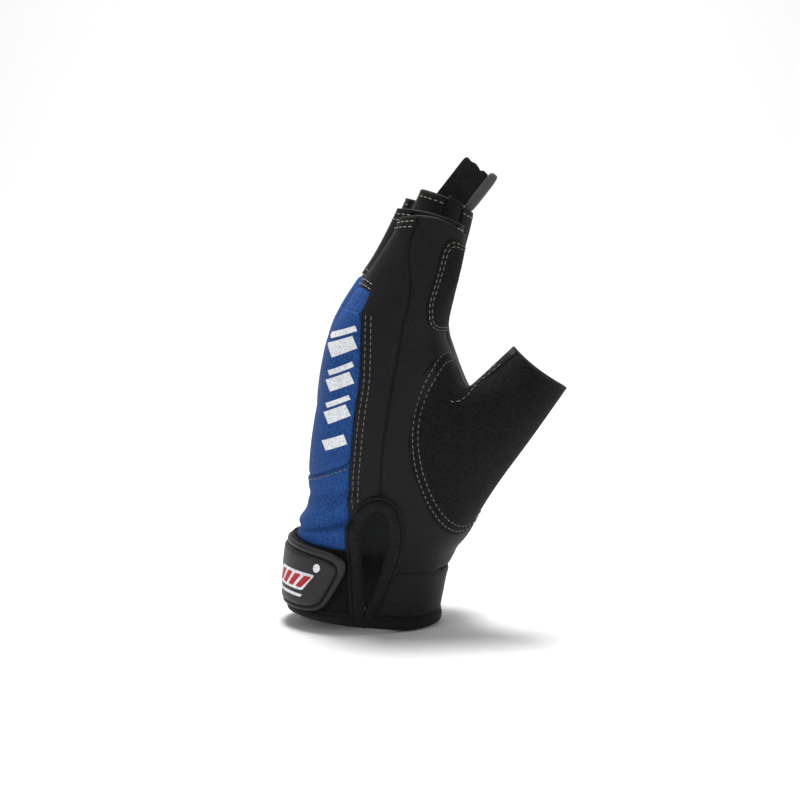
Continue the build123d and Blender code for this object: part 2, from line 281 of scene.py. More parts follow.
# %% [markdown]
# ## Materials
# The glove is nearly all black, so the finishes have to tell the panels apart: a smooth knit with a faint sheen,
# a matt suede with a fine pebbled nap, a furry loop pile, dull moulded rubber and a heathered blue knit. Each
# pattern reads Object coordinates in metres, so its scale is the real one.

# %% Node helper
def node(material, kind, settings=(), **links):
    """Adds a node of a kind, sets its properties and sockets, and links the outputs given for its inputs."""
    made = material.node_tree.nodes.new("ShaderNode" + kind)
    for key, value in dict(settings).items():
        if hasattr(made, key) and key not in made.inputs:
            setattr(made, key, value)
        else:
            made.inputs[key].default_value = value
    for key, output in links.items():
        material.node_tree.links.new(output, made.inputs[key.replace("_", " ")])
    return made


def new_material(name, colour, roughness, sheen=0.0, shine=0.1):
    """A material with its Principled shader's plain values set, and its Object coordinates ready to use."""
    material = bpy.data.materials.new(name)
    material.use_nodes = True
    shader = material.node_tree.nodes["Principled BSDF"]
    shader.inputs["Base Color"].default_value = to_linear(colour)
    shader.inputs["Roughness"].default_value = roughness
    shader.inputs["IOR"].default_value = 1.5
    shader.inputs["Specular IOR Level"].default_value = shine
    shader.inputs["Sheen Weight"].default_value = sheen
    shader.inputs["Sheen Roughness"].default_value = 0.55
    place = node(material, "TexCoord").outputs["Object"]
    return material, shader, place


def patterned(name, dark, light, roughness, cell, bump, sheen=0.0, stretch=(1, 1, 1), kind="noise",
              mix=(0.35, 0.65), shine=0.1):
    """A cloth or suede: noise between two colours at a cell size in millimetres, and the same noise as relief."""
    material, shader, place = new_material(name, dark, roughness, sheen, shine)
    placed = node(material, "Mapping", {"Scale": stretch}, Vector=place).outputs["Vector"]
    if kind == "cells":
        fine = node(material, "TexVoronoi", {"Scale": 1 / (cell * MM), "Randomness": 1.0}, Vector=placed)
        height = fine.outputs["Distance"]
    else:
        settings = {"Scale": 1 / (cell * MM), "Detail": 3.0, "Roughness": 0.6}
        fine = node(material, "TexNoise", settings, Vector=placed)
        height = fine.outputs["Fac"]
    ramp = node(material, "ValToRGB", Fac=height)
    for stop, position, colour in zip(ramp.color_ramp.elements, mix, (dark, light)):
        stop.position, stop.color = position, to_linear(colour)
    relief = node(material, "Bump", {"Strength": 0.6, "Distance": bump * MM}, Height=height)
    links = material.node_tree.links
    links.new(ramp.outputs["Color"], shader.inputs["Base Color"])
    links.new(relief.outputs["Normal"], shader.inputs["Normal"])
    return material


# %% Finishes
# Heathered nylon knit: blue and nearly black yarns run together in short dashes along the hand.
blue_knit = patterned("heathered_blue_knit", "#15305f", "#2b599f", 0.80, 0.75, 0.06, 0.02, (1.25, 1.25, 0.8),
                      mix=(0.32, 0.70))
# Fine-gauge knitted nylon over thin foam: nearly smooth, with a soft sheen that shows its curves.
black_knit = patterned("fine_black_knit", "#151516", "#1f1f20", 0.60, 0.55, 0.05, 0.03)
# Microfibre suede with a pebbled nap: matt, with small dark pits. A paler copy of it is painted light, for the
# pull-off tab that its angle leaves in shade.
suede = patterned("pebbled_microfibre_suede", "#1f1f20", "#0c0c0c", 0.92, 0.75, 0.16, 0.04, kind="cells",
                  mix=(0.05, 0.85))
# Painted light: the same suede made paler, to make up for the darker shading the tab gets from its angle.
suede_lit_paler = patterned("synthetic_suede_painted_paler", "#2b2b2b", "#151515", 0.92, 0.75, 0.16, 0.04, kind="cells",
                        mix=(0.05, 0.85))
# Brushed loop pile, the soft half of a hook-and-loop closure: furry and without any gloss.
loop_pile = patterned("brushed_loop_pile", "#080808", "#1a1a1b", 0.97, 0.7, 0.30, 0.06, mix=(0.35, 0.7))
# Folded knitted binding tape: fine, firm and a little shinier than the panels.
tape = patterned("knitted_binding_tape", "#121213", "#1b1b1c", 0.66, 0.4, 0.05, 0.03, (1, 1, 2.2))
# Soft moulded rubber with a fine matt texture from its mould.
rubber = patterned("matt_moulded_rubber", "#1c1c1c", "#222222", 0.5, 0.45, 0.03, shine=0.3)
# The grip edge of the pull-off tab: paler rubber with a satin face.
grey_rubber = patterned("satin_grey_rubber", "#464646", "#525251", 0.42, 0.8, 0.02, shine=0.35)
# The smooth tricot lining, a neutral grey that stays readable in the shade inside the glove.
lining_cloth = patterned("tricot_lining", "#75777a", "#8b8d90", 0.8, 0.6, 0.05)
# The velvet facing inside the cuff, paler than the cuff's outside so that it reads in the shade of the vent.
facing_pile = patterned("velvet_cuff_facing", "#4a4b4e", "#6c6d70", 0.95, 0.7, 0.2)
# Waxed polyester sewing thread: cream, the same one a shade darker for the rows along the long seams, and black.
cream_thread = patterned("cream_polyester_thread", "#8b8678", "#aaa595", 0.55, 0.3, 0.03)
# The cream thread a shade darker, used for the stitch rows along the long seams.
darker_seam_thread = patterned("polyester_thread_darker", "#67645b", "#87847a", 0.6, 0.3, 0.03)
black_thread = patterned("black_polyester_thread", "#040404", "#0c0c0c", 0.8, 0.1, 0.03)
# Red ink of the small mark on the tab.
red_ink = patterned("red_pad_print_ink", "#a5242b", "#bb3a3c", 0.5, 0.6, 0.01)
# Screen-printed ink, which sinks into the knit and breaks up over its yarns.
white_ink = patterned("white_screen_ink", "#aeb6c2", "#eef0f3", 0.7, 0.9, 0.06, mix=(0.25, 0.55))
print("materials", len(bpy.data.materials))

# %% [markdown]
# ## Where the seams run on the thumb side
# The thumb side is the one that a buyer sees first. Its seams are drawn as height against distance towards the
# palm, and one function lays any such line onto the hand.

# %% Thumb-side seams
BACK_SEAM = np.array([[0, -28.5], [35, -31.3], [50, -30.5], [60, -30.8], [70, -30.2], [81, -29.2], [93, -27.8],
                      [105, -26.2], [113, -25.8], [131, -25.4]])
SIDE_SEAM = np.array([[0, -17.5], [60, -17.6], [75, -17.0], [85, -15.7], [103, -12.9], [117, -10.4], [131, -8.2]])
CUFF_FOOT, LOOP_TOP, BAND_TOP, YOKE = 3.0, 33.0, 25.0, 62.5  # heights of the seams round the hand
FAR_BACK, FAR_PALM = -128.0, 142.0  # angles of the two seams on the little-finger side
INDEX_PALM, PALM_START = 55.7, 88.0  # angles where the index finger's share of the palm begins and ends


def seam_x(seam, height):
    """How far towards the palm a seam lies at a height."""
    return through(seam[:, 0], seam[:, 1], height)


def angle_on_thumb_side(x, height):
    """The angle around the hand whose point has this x: the section's equation solved for the thumb side."""
    x, height = np.broadcast_arrays(np.asarray(x, float), np.asarray(height, float))
    row = through(HAND_LEVELS[:, 0], HAND_LEVELS[:, 1:], height)
    xb, _, xp, _, _, power = np.moveaxis(row, -1, 0)
    w = np.clip((x - (xb + xp) / 2) / ((xp - xb) / 2), -0.999, 0.999)
    return np.degrees(np.arctan2(w, (1 - np.abs(w) ** power) ** (1 / power)))


def on_thumb_side(x, z, lift=0.0):
    """The point of the thumb side at x and height z, lifted off the cloth by a distance along the normal."""
    angle = angle_on_thumb_side(x, z)
    p = hand_at(angle, z)
    n = unit(np.cross(hand_at(angle + 0.5, z) - p, hand_at(angle, np.asarray(z) + 0.5) - p))
    n *= np.sign(-n[..., 1:2])
    return p + n * (slack(p) + lift)[..., None], n


def hand_panel(rows, columns, low, high, left, right):
    """A grid over the hand. Its sides are angles or functions of height, its ends heights or functions of angle."""
    v, u = grid(rows, columns)
    angle = np.full(v.shape, -60.0)
    for _ in range(4):  # heights and angles depend on each other and settle within a few rounds
        bottom, top = value(low, angle), value(high, angle)
        height = bottom + v * (top - bottom)
        a, b = value(left, height), value(right, height)
        angle = a + u * (b - a)
    return hand_at(angle, height)


def yoke(angle):
    """The height of the seam across the back: lowest in the middle and rising towards both sides."""
    return YOKE + 8.0 * np.clip(np.abs(angle + 90) / 57, 0, 1.2) ** 2


def foot_of(x, y):
    """How high the cuff's lower edge stands: both near sides rise at the vent, the far side towards the back."""
    near = np.where(x < -24.3, 2.8 + 0.10 * (-24.3 - x), 0.6 + 2.2 * (1 - smooth(-24.3, -4, x)))
    far = 0.22 * np.maximum(0, -35 - x)
    return near + (far - near) * smooth(-12, 15, y)


def back_edge(height):
    """The angle of the seam between the blue back and the gusset at a height."""
    return angle_on_thumb_side(seam_x(BACK_SEAM, height), height)


def side_edge(height):
    """The angle of the seam along the thumb side at a height."""
    return angle_on_thumb_side(seam_x(SIDE_SEAM, height), height)


# %% [markdown]
# ## The keyhole vent
# Getting into a wet glove needs a slit at the wrist. It ends in a round head so that it can't tear, and a folded
# tape binds it: a rolled lip at the edge, a row of stitches in its groove and a thin flat flange. The opening is a
# closed line in height and distance, and the panels under it lose their faces there.

# %% The vent's line
VENT = np.array([[-24.3, -4], [-24.3, 6], [-24.8, 14], [-25.5, 28], [-25.8, 40], [-24.7, 46], [-22.3, 50.5],
                 [-18.6, 52.8], [-15.9, 51.7], [-14.4, 48.0], [-13.6, 42.5], [-14.4, 36.0], [-16.0, 30.0],
                 [-18.0, 23.4], [-20.4, 17.2], [-23.1, 11.5], [-24.6, 6.0], [-24.5, -4]])
WRIST_MIDDLE = np.array([-24.0, 0, 0])
VENT_CLEARANCE = 2.2  # how far the panels stop short of the opening, under its tape


def lengths(points):
    """How far along a line each of its points is."""
    return np.r_[0, np.cumsum(np.linalg.norm(np.diff(points, axis=0), axis=1))]


def resample(values, knots, at):
    """Rows of values at new places, by straight lines between the knots."""
    return np.stack([np.interp(at, knots, column) for column in values.T], 1)


def spaced(points, step):
    """Points along a smooth line through the given ones, evenly spaced."""
    knots = lengths(points)
    fine = through(knots, points, np.linspace(0, knots[-1], 40 * len(points)))
    length = lengths(fine)
    return resample(fine, length, np.linspace(0, length[-1], max(3, int(round(length[-1] / step)) + 1)))


vent_line = spaced(VENT, 0.45)
vent_tangent = unit(np.gradient(vent_line, axis=0))
vent_out = np.stack([-vent_tangent[:, 1], vent_tangent[:, 0]], 1)  # away from the opening, on its left


def beyond_vent(points):
    """True for faces clear of the vent: on the far half, or outside its outline grown by the clearance."""
    centre = (points[1:, 1:] + points[:-1, :-1] + points[1:, :-1] + points[:-1, 1:]) / 4
    x, z = centre[..., 0], centre[..., 2]
    outline = vent_line + vent_out * VENT_CLEARANCE
    inside = np.zeros(x.shape, bool)
    for (x0, z0), (x1, z1) in zip(outline, np.roll(outline, -1, axis=0)):
        crosses = (z0 > z) != (z1 > z)
        with np.errstate(divide="ignore", invalid="ignore"):
            inside ^= crosses & (x < (x1 - x0) * (z - z0) / (z1 - z0) + x0)
    return ~(inside & (centre[..., 1] < 0))


# %% [markdown]
# ## Panels of the hand
# Each panel is its own piece of cloth, as it comes off the cutter: two blue ones across the back, black gussets
# on both sides, the palm, and the two bands of the cuff.

# %% Hand panels
KNIT, BLUE, PILE = "black_stretch_cloth", "blue_stretch_cloth", "loop_pile_webbing"  # slots
HAND_PANELS = (  # name, rows, columns, low, high, left, right, material, nodes, slot, seams, more
    ("back_upper_cloth", 70, 110, yoke, HAND_TOP, FAR_BACK, back_edge, blue_knit,
     ["back_panel_upper", "back_graphic"], BLUE, "lrb", {}),
    ("back_lower_cloth", 60, 110, LOOP_TOP, yoke, FAR_BACK, back_edge, blue_knit,
     ["back_panel_lower"], BLUE, "lrtb", {}),
    ("thumb_side_palm_cloth", 120, 40, BAND_TOP, HAND_TOP, INDEX_PALM, PALM_START, black_knit,
     ["thumb_side_palm"], KNIT, "b", {}),
    ("palm_cloth", 120, 60, BAND_TOP, HAND_TOP, PALM_START, FAR_PALM, black_knit, ["palm_panel"], KNIT, "rb", {}),
    ("little_side_gusset_cloth", 120, 50, BAND_TOP, HAND_TOP, FAR_PALM, 360 + FAR_BACK, black_knit,
     ["little_side_gusset"], KNIT, "lr", {}),
    ("cuff_loop_band_pile", 34, 110, CUFF_FOOT, LOOP_TOP, FAR_BACK - 8, back_edge, loop_pile,
     ["cuff_loop_band"], PILE, "t", {"wavy": 0.3, "lift": 0.3}),
    ("cuff_palm_band_cloth", 34, 130, CUFF_FOOT, BAND_TOP, back_edge, 360 + FAR_BACK - 8, black_knit,
     ["cuff_palm_band"], KNIT, "t", {"wavy": 0.3, "lift": 0.35}),
)
for name, rows, columns, low, high, left, right, material, nodes, slot, seams, more in HAND_PANELS:
    points = hand_panel(rows, columns, low, high, left, right)
    cloth(name, points, material, "hand", nodes, slot, seams=seams, keep=beyond_vent(points), **more)

lining_points = hand_panel(130, 200, 0.3, HAND_TOP, FAR_BACK, 360 + FAR_BACK)
cloth("hand_lining_cloth", lining_points, lining_cloth, "hand", lift=-2.0, thick=0.4, wavy=0.0,
      keep=beyond_vent(lining_points))
facing_points = hand_panel(30, 90, 0.3, 22.0, 60.0, 360 - 60.0)
x, y, z = facing_points[0].T
facing_points[..., 2] += (foot_of(x, y) + 0.6 - z) * (1 - np.linspace(0, 1, 30)[:, None])
cloth("inner_cuff_facing_pile", facing_points, facing_pile, "hand", ["inner_cuff_facing"], PILE, lift=-2.9,
      thick=0.6, wavy=0.0)

# %% [markdown]
# ## The fingers
# A finger starts as a slice of the hand and ends as an oval hem. Around it, the outline is found by casting rays
# from the middle of the slice, and on the way up it eases from the slice into the oval, which opens the valleys
# between the fingers as the sewn side walls do. Each piece is given the knuckle between the hand and the finger,
# but is only baked in place there.

# %% Finger form
FINGERS = {  # hem's back corner, hem's palm corner, middle of the hem in y, half its width, bulge of the hem
    "index": ((-10.0, 169.3), (16.3, 162.3), -31.6, 9.9, 3.4),
    "middle": ((-11.0, 172.8), (16.6, 165.6), -10.8, 9.9, 1.5),
    "ring": ((-0.8, 180.7), (21.0, 170.7), 9.6, 9.4, 1.0),
    "little": ((-7.4, 177.0), (14.0, 168.0), 29.4, 8.8, 1.0),
}
CUTS = dict(zip(FINGERS, zip(FINGER_CUTS[:-1], FINGER_CUTS[1:])))
BENDS = {name: ("hand", name, (-0.013, 0.0, 0.131), (-0.004, 0.0, 0.156)) for name in FINGERS}  # over the knuckles
TOP_EDGE, TOP_POWER, TOP_DEPTH = HAND_LEVELS[-1, 5], HAND_LEVELS[-1, 6], 23.4  # half sizes of the hand's top


def slice_middle(name):
    """The y in the middle of a finger's slice of the hand's top."""
    low_y, high_y = CUTS[name]
    return (max(low_y, -TOP_EDGE) + min(high_y, TOP_EDGE)) / 2


def slice_outline(name, angle):
    """The slice of the hand's top between two cuts, in y and a share of the depth, by halving along each ray."""
    low_y, high_y = CUTS[name]
    middle = slice_middle(name)
    c, s = np.cos(angle), np.sin(angle)
    low, high = np.zeros_like(angle), np.full_like(angle, 60.0)
    for _ in range(28):
        r = (low + high) / 2
        y, w = middle - r * c, r * s / TOP_DEPTH
        limit = 1 - VALLEY_DEPTH * valleys(y)
        inside = np.abs(y / TOP_EDGE) ** TOP_POWER + np.abs(w / limit) ** TOP_POWER < 1
        inside &= (y > low_y) & (y < high_y)
        low, high = np.where(inside, r, low), np.where(inside, high, r)
    return middle - low * c, low * s / TOP_DEPTH


def finger_at(name, angle, share):
    """The finger's outside at an angle (0 thumb side, 90 palm, -90 back) and a share of the way to the hem."""
    angle, share = np.broadcast_arrays(np.radians(np.asarray(angle, float)), np.asarray(share, float))
    back, palm, middle, half, bulge = FINGERS[name]
    root = HAND_LEVELS[-1]
    y0, w0 = slice_outline(name, angle)
    y1, w1 = middle - half * np.cos(angle), np.sin(angle)
    ease = smooth(0.0, 0.75, share)
    y, w = y0 + (y1 - y0) * ease, w0 + (w1 - w0) * ease
    tall = np.hypot(back[0] - root[1], back[1] - root[2])
    t = share[..., None]
    rear = hermite(root[1:3], np.array([0.55, 0.84]) * tall, np.array(back), np.array([0.36, 0.93]) * tall, t)
    tall = np.hypot(palm[0] - root[3], palm[1] - root[4])
    front = hermite(root[3:5], np.array([0.16, 0.99]) * tall, np.array(palm), np.array([0.18, 0.98]) * tall, t)
    centre, reach = (rear + front) / 2, (front - rear) / 2
    rise = bulge * np.cos(angle) ** 2 * smooth(0.3, 1.0, share)
    x = centre[..., 0] + w * reach[..., 0] + 0.25 * rise
    return np.stack([x, y, centre[..., 1] + w * reach[..., 1] + 0.97 * rise], -1)


def root_angle(name, angle):
    """The finger's own angle where the hand's angle meets it at the top of the hand."""
    c, s, radius = superellipse(np.radians(angle), TOP_POWER)
    return np.degrees(np.arctan2(radius * s * TOP_DEPTH, slice_middle(name) + TOP_EDGE * radius * c))


def lay(surface, xz, first):
    """The two numbers at which a surface passes through points (x, z): Newton's steps from a first guess."""
    xz = np.asarray(xz, float)
    a, b = np.full(len(xz), float(first[0])), np.full(len(xz), float(first[1]))
    for _ in range(40):
        p = surface(a, b)
        da, db = (surface(a + 0.01, b) - p) / 0.01, (surface(a, b + 0.001) - p) / 0.001
        miss = xz - p[:, [0, 2]]
        det = da[:, 0] * db[:, 2] - da[:, 2] * db[:, 0]
        det = np.where(np.abs(det) < 1e-6, 1e-6, det)
        a = a + 0.6 * np.clip((miss[:, 0] * db[:, 2] - miss[:, 1] * db[:, 0]) / det, -8, 8)
        b = b + 0.6 * np.clip((da[:, 0] * miss[:, 1] - da[:, 2] * miss[:, 0]) / det, -0.1, 0.1)
    return a, b


def finger_core(name, share, columns):
    """The middle of the finger at each share, for telling outwards from inwards."""
    points = finger_at(name, np.linspace(0, 360, 24, endpoint=False)[None, :], share[:, :1] * np.ones((1, 24)))
    return np.repeat(points.mean(axis=1, keepdims=True), columns, axis=1)


def finger_panel(name, rows, columns, left, right, low, high):
    """A grid over a finger between two angles and two shares, each share a number or a function of the angle."""
    v, u = grid(rows, columns)
    angle = left + u * (right - left)
    a, b = value(low, angle), value(high, angle)
    share = a + v * (b - a)
    return finger_at(name, angle, share), finger_core(name, share, columns)


BLUE_TOP = {"index": 0.26, "middle": 0.33, "ring": 0.30, "little": 0.26}
INDEX_EDGE = float(root_angle("index", back_edge(HAND_TOP)))
INDEX_FRONT = float(root_angle("index", INDEX_PALM))
INDEX_SIDE_HEM = -29.0  # where the plain seam meets the index finger's hem
CORNERS = {  # angles of the four seams: back to thumb side, thumb side to palm, palm to far wall, far wall to back
    "index": (INDEX_EDGE, INDEX_FRONT, 122, 238),
    "middle": (-30, 50, 130, 230),
    "ring": (-3, 36, 130, 230),
    "little": (-50, 50, 133, 236),
}


def blue_arch(name):
    """How far up the blue cloth reaches on a finger's back: highest in the middle, lower towards the sides."""
    return lambda angle: BLUE_TOP[name] - 0.10 * ((angle + 90) / 50) ** 2


def hem_roll(name, rim, up, out, sink, tall, wide, material, body, nodes=()):
    """The rolled lip of a hem: a small oval profile carried round its rim and sunk a little into it."""
    roll = np.linspace(0, 2 * np.pi, 13)[:, None, None]
    lip = rim - sink * out + tall * np.sin(roll) * up + wide * np.cos(roll) * out
    return settle(add_mesh(name, lip, grid_faces(13, len(rim), True), material), body, nodes)


for finger in FINGERS:
    near, palmar, far, behind_far = CORNERS[finger]
    back, arch, index = (behind_far - 360, near), blue_arch(finger), finger == "index"
    sides = [  # side, rows, columns, left, right, low, high, sewn edges
        ("knuckle_blue", 26, 40, *back, 0.0, arch, "t"),
        ("back", 60, 40, *back, arch, 1.0, "b" if index else "br"),
        ("palm", 80, 36, palmar, far, 0.0, 1.0, "" if index else "lr"),
        ("far_wall", 80, 36, far, behind_far, 0.0, 1.0, "lr"),
        ("near_wall", 80, 36, near, palmar, 0.0, 1.03 if finger == "ring" else 1.0, "lr"),
    ]
    for side, rows, columns, left, right, low, high, seams in sides[: 4 if index else 5]:
        blue = side == "knuckle_blue"
        points, inner = finger_panel(finger, rows, columns, left, right, low, high)
        cloth(f"{finger}_{side}_cloth", points, blue_knit if blue else black_knit, BENDS[finger],
              [] if blue else [f"{finger}_{side}"], BLUE if blue else KNIT, inside=inner, seams=seams)
    points, inner = finger_panel(finger, 50, 60, 0, 360, 0.02, 0.985)
    cloth(f"{finger}_lining_cloth", points, lining_cloth, BENDS[finger], inside=inner, lift=-1.5, thick=0.3,
          wavy=0.0)
    turn = np.linspace(0, 360, 73)[:-1]
    rim = finger_at(finger, turn, 1.0)
    up = unit(rim - finger_at(finger, turn, 0.97))
    out = unit(np.cross(np.roll(rim, -1, 0) - np.roll(rim, 1, 0), up))
    out *= np.sign(np.sum(out * (rim - rim.mean(0)), 1).mean())
    hem_roll(f"{finger}_hem_roll", rim, up, out, 0.62, 0.55, 0.70, black_knit, BENDS[finger])


def long_panel(name, low, hand_left, hand_right, finger_left, finger_right, columns, nodes, seams, left_rows=0):
    """A panel from the cuff to the index finger's hem: a hand grid and a finger grid joined at the root."""
    hand_part = hand_panel(120, columns, low, HAND_TOP, hand_left, hand_right)
    first = root_angle("index", np.linspace(hand_left(HAND_TOP), value(hand_right, HAND_TOP), columns))
    last = np.linspace(finger_left, finger_right, columns)
    share = np.linspace(0, 1, 56)[1:, None] * np.ones((1, columns))
    angle = first + (last - first) * smooth(0.0, 0.9, share)
    finger_part = finger_at("index", angle, share)
    points = np.concatenate([hand_part, finger_part])
    middle = np.concatenate([core(hand_part), finger_core("index", share, columns)])
    return cloth(name, points, black_knit, BENDS["index"], nodes, KNIT, inside=middle, seams=seams,
                 keep=beyond_vent(points), left_rows=left_rows)


long_panel("thumb_side_gusset_cloth", LOOP_TOP, back_edge, side_edge, INDEX_EDGE, INDEX_SIDE_HEM, 34,
           ["thumb_side_gusset"], "lr", left_rows=118)
long_panel("thumb_side_long_cloth", BAND_TOP, side_edge, INDEX_PALM, INDEX_SIDE_HEM, INDEX_FRONT, 56,
           ["index_near_wall"], "l")
print("fingers", len(FINGERS), "index seams at", round(INDEX_EDGE), round(INDEX_FRONT))

# %% [markdown]
# ## The thumb
# One suede panel wraps the ball of the thumb and runs out along the thumb's stall, so its surface starts tangent to
# the hand along a long curved seam and ends in an oval hem. Each line from the seam to the hem is a cubic curve
# with a direction at both ends.

# %% Thumb form
TILT = math.radians(38)  # how far the thumb, and the pull-off tab, lean towards the palm
TILTED_UP = np.array([math.sin(TILT), 0, math.cos(TILT)])
TILTED_DOWN = np.array([math.cos(TILT), 0, -math.sin(TILT)])
THUMB_HEM = np.array([46.6, -25.0, 108.9])  # the middle of the hem
THUMB_HALF = (13.7, 11.6)  # half sizes of the hem's oval, in and across the plane of the hand
THUMB_WEB = np.array([17.0, -26.0, 100.2])  # the crease at the bottom of the fork
THUMB_BEND = ("hand", "thumb", (0.024, -0.025, 0.085), (0.046, -0.025, 0.085))


def thumb_base(turn):
    """The seam on the hand, as a long oval in angle and height: 0 is its edge nearest the back, 90 its top."""
    angle = 54.0 - 46.0 * np.cos(turn)
    height = 78.5 + 39.0 * np.sin(turn)
    p, n = normal_away(hand_at, angle, height, core)
    towards = hand_at(74.0, 80.0) - p
    flat = unit(towards - n * np.sum(towards * n, -1, keepdims=True))
    return p + n * slack(p)[..., None], flat, n


def thumb_at(turn, share):
    """A point of the thumb: a rational cubic from the seam, along the hand, to the hem, along the thumb. At the
    top both inner control points draw together at the web's crease and pull harder, which makes the sharp fork."""
    turn, share = np.broadcast_arrays(np.asarray(turn, float), np.asarray(share, float))
    p, flat, n = thumb_base(turn)
    s, c = np.sin(turn)[..., None], np.cos(turn)[..., None]
    hem = THUMB_HEM - TILTED_DOWN * THUMB_HALF[0] * s - np.array([0, THUMB_HALF[1], 0]) * c
    hem = hem - TILTED_UP * 1.4 * (1 - s**2)
    lean = TILT + np.radians(5 * s)
    aim = np.concatenate([np.sin(lean), 0 * lean, np.cos(lean)], -1)
    top = np.clip(s, 0, 1) ** 3
    web = THUMB_WEB - np.array([0, 4.0, 0]) * c * 2
    leave = (p + flat * (13 + 4 * (1 - s)) + n * 1.2) * (1 - top) + web * top
    arrive = (hem - aim * (16 + 3 * (1 - s))) * (1 - top) + web * top
    pull = 1 + 6.0 * top
    t = share[..., None]
    parts = ((1 - t) ** 3, 3 * (1 - t) ** 2 * t * pull, 3 * (1 - t) * t**2 * pull, t**3)
    return (parts[0] * p + parts[1] * leave + parts[2] * arrive + parts[3] * hem) / sum(parts)


def thumb_core(share, columns):
    """A line up the middle of the thumb."""
    middle = THUMB_HEM - TILTED_UP * 75 * (1 - share[..., :1, None])
    return np.repeat(middle, columns, axis=1)


def thumb_seam(share):
    """The angle of the seam along the thumb's upper edge: at the crease it runs out of the web."""
    return 98 - 41 * smooth(0.30, 0.58, share)


def thumb_panel(rows, columns, left, right, low=0.0, high=1.0):
    """A grid over the thumb between two angles, each a number or a function of the share, and its middle line."""
    v, u = grid(rows, columns)
    share = low + v * (high - low)
    a, b = value(left, share), value(right, share)
    return thumb_at(np.radians(a + u * (b - a)), share), thumb_core(share, columns)


THUMB_FAR = -128.0  # the seam between the suede and the inner cloth, far below
points, inner = thumb_panel(100, 120, THUMB_FAR, thumb_seam)
cloth("thumb_outer_suede", points, suede, THUMB_BEND, ["thumb_outer", "thenar_patch"], "black_suede", inside=inner,
      seams="lr", wavy=0.35)
points, inner = thumb_panel(90, 90, thumb_seam, 360 + THUMB_FAR)
cloth("thumb_inner_cloth", points, black_knit, THUMB_BEND, ["thumb_inner"], KNIT, inside=inner, seams="lr",
      wavy=0.35)
points, inner = thumb_panel(40, 100, 0, 360, 0.35, 0.985)
cloth("thumb_lining_cloth", points, lining_cloth, THUMB_BEND, inside=inner, lift=-1.6, thick=0.3, wavy=0.0)

# %% [markdown]
# The thumb's hem is bound with tape, so its lip is a little thicker than those of the fingers.

# %% The thumb's rolled hem
rim = thumb_at(np.linspace(0, 2 * np.pi, 85)[:-1], 1.0)
outward = rim - rim.mean(0)
outward = unit(outward - (outward @ TILTED_UP)[:, None] * TILTED_UP)
hem_roll("thumb_hem_roll", rim, TILTED_UP, outward, 0.55, 0.7, 0.75, tape, THUMB_BEND, ["thumb_hem"])

# %% [markdown]
# ## Patches, bindings and the strap
# What is sewn on top of the panels is lifted off the same form, so it follows every curve below it.

# %% A sewn or moulded pad
def rounded(power, count=120):
    """Points round a rounded rectangle from -1 to 1 in both directions: a superellipse."""
    turn = np.linspace(0, 2 * np.pi, count + 1)[:-1]
    c, s, radius = superellipse(turn, power)
    return radius * c, radius * s


def pad(name, place, half, layers, power, material, body, nodes=()):
    """A pad on any surface: its outline at each layer's inset and lift, closed above and below by shrinking rings.
    place(X, Y, lift) gives the point for a position from -1 to 1 each way."""
    x, y = rounded(power)
    stack = [(0.02, *layers[0])] + [(1.0, *layer) for layer in layers]
    stack += [(share, *layers[-1]) for share in np.linspace(1, 0.02, 7)[1:]]
    points = np.stack([place(x * share * (1 - inset / half[0]), y * share * (1 - inset / half[1]), lift)
                       for share, inset, lift in stack])
    obj = add_mesh(name, points, grid_faces(len(stack), len(x), True, caps=True), material)
    return settle(obj, body, nodes)


def lifted(surface, a, b, inner, lift=0.0, steps=(0.5, 0.01)):
    """Points of a surface moved off it along its outward normal, on top of the cloth's own slack."""
    p, n = normal_away(surface, a, b, inner, steps)
    return p + n * (slack(p) + lift)[..., None], n


# %% [markdown]
# The patch across the palm and the pad on the index finger are the same suede as the thumb's, with turned edges.

# %% Palm patch and index pad
def palm_place(x, y, lift):
    """The patch across the palm, as an angle and a height on the hand."""
    p = hand_at(124 + 12 * x, 77 + 35 * y)
    return p + unit(p - core(p)) * (slack(p) + lift)[..., None]


INDEX_PAD_HALF = (11, 18)  # half sizes in millimetres, which the insets of its layers are shares of
pad("palm_patch_suede", palm_place, (11, 35), [(1.0, -0.6), (0.3, -0.1), (0.0, 0.4), (0.4, 0.9), (1.4, 1.0)], 5,
    suede, "hand", ["palm_patch"])
index_at = partial(finger_at, "index")
PAD_EDGE = [(0.6, 125.0), (0.6, 131.0), (1.4, 138.3), (4.0, 147.0), (6.2, 156.5), (7.8, 163.2)]
pad_left, pad_share = lay(index_at, PAD_EDGE, (20, 0.4))


def index_pad_place(x, y, lift):
    """The pad on the index finger, from the seam line on its left to the palm side on its right."""
    share = (pad_share[0] + pad_share[-1]) / 2 + (pad_share[-1] - pad_share[0]) / 2 * y
    left = np.interp(share, pad_share, pad_left)
    inner = finger_core("index", share[:, None], 1)[:, 0]
    return lifted(index_at, left + (x + 1) / 2 * (124 - left), share, inner, lift)[0]


pad("index_pad_suede", index_pad_place, INDEX_PAD_HALF,
    [(1.0, -0.6), (0.3, -0.1), (0.0, 0.3), (0.35, 0.7), (1.2, 0.8)], 5, suede, BENDS["index"], ["index_pad"])


# %% [markdown]
# Binding tape is a profile of (distance outwards, lift) carried along the edge it folds over. Round the vent it is
# drawn up by its stitches into small even puckers.

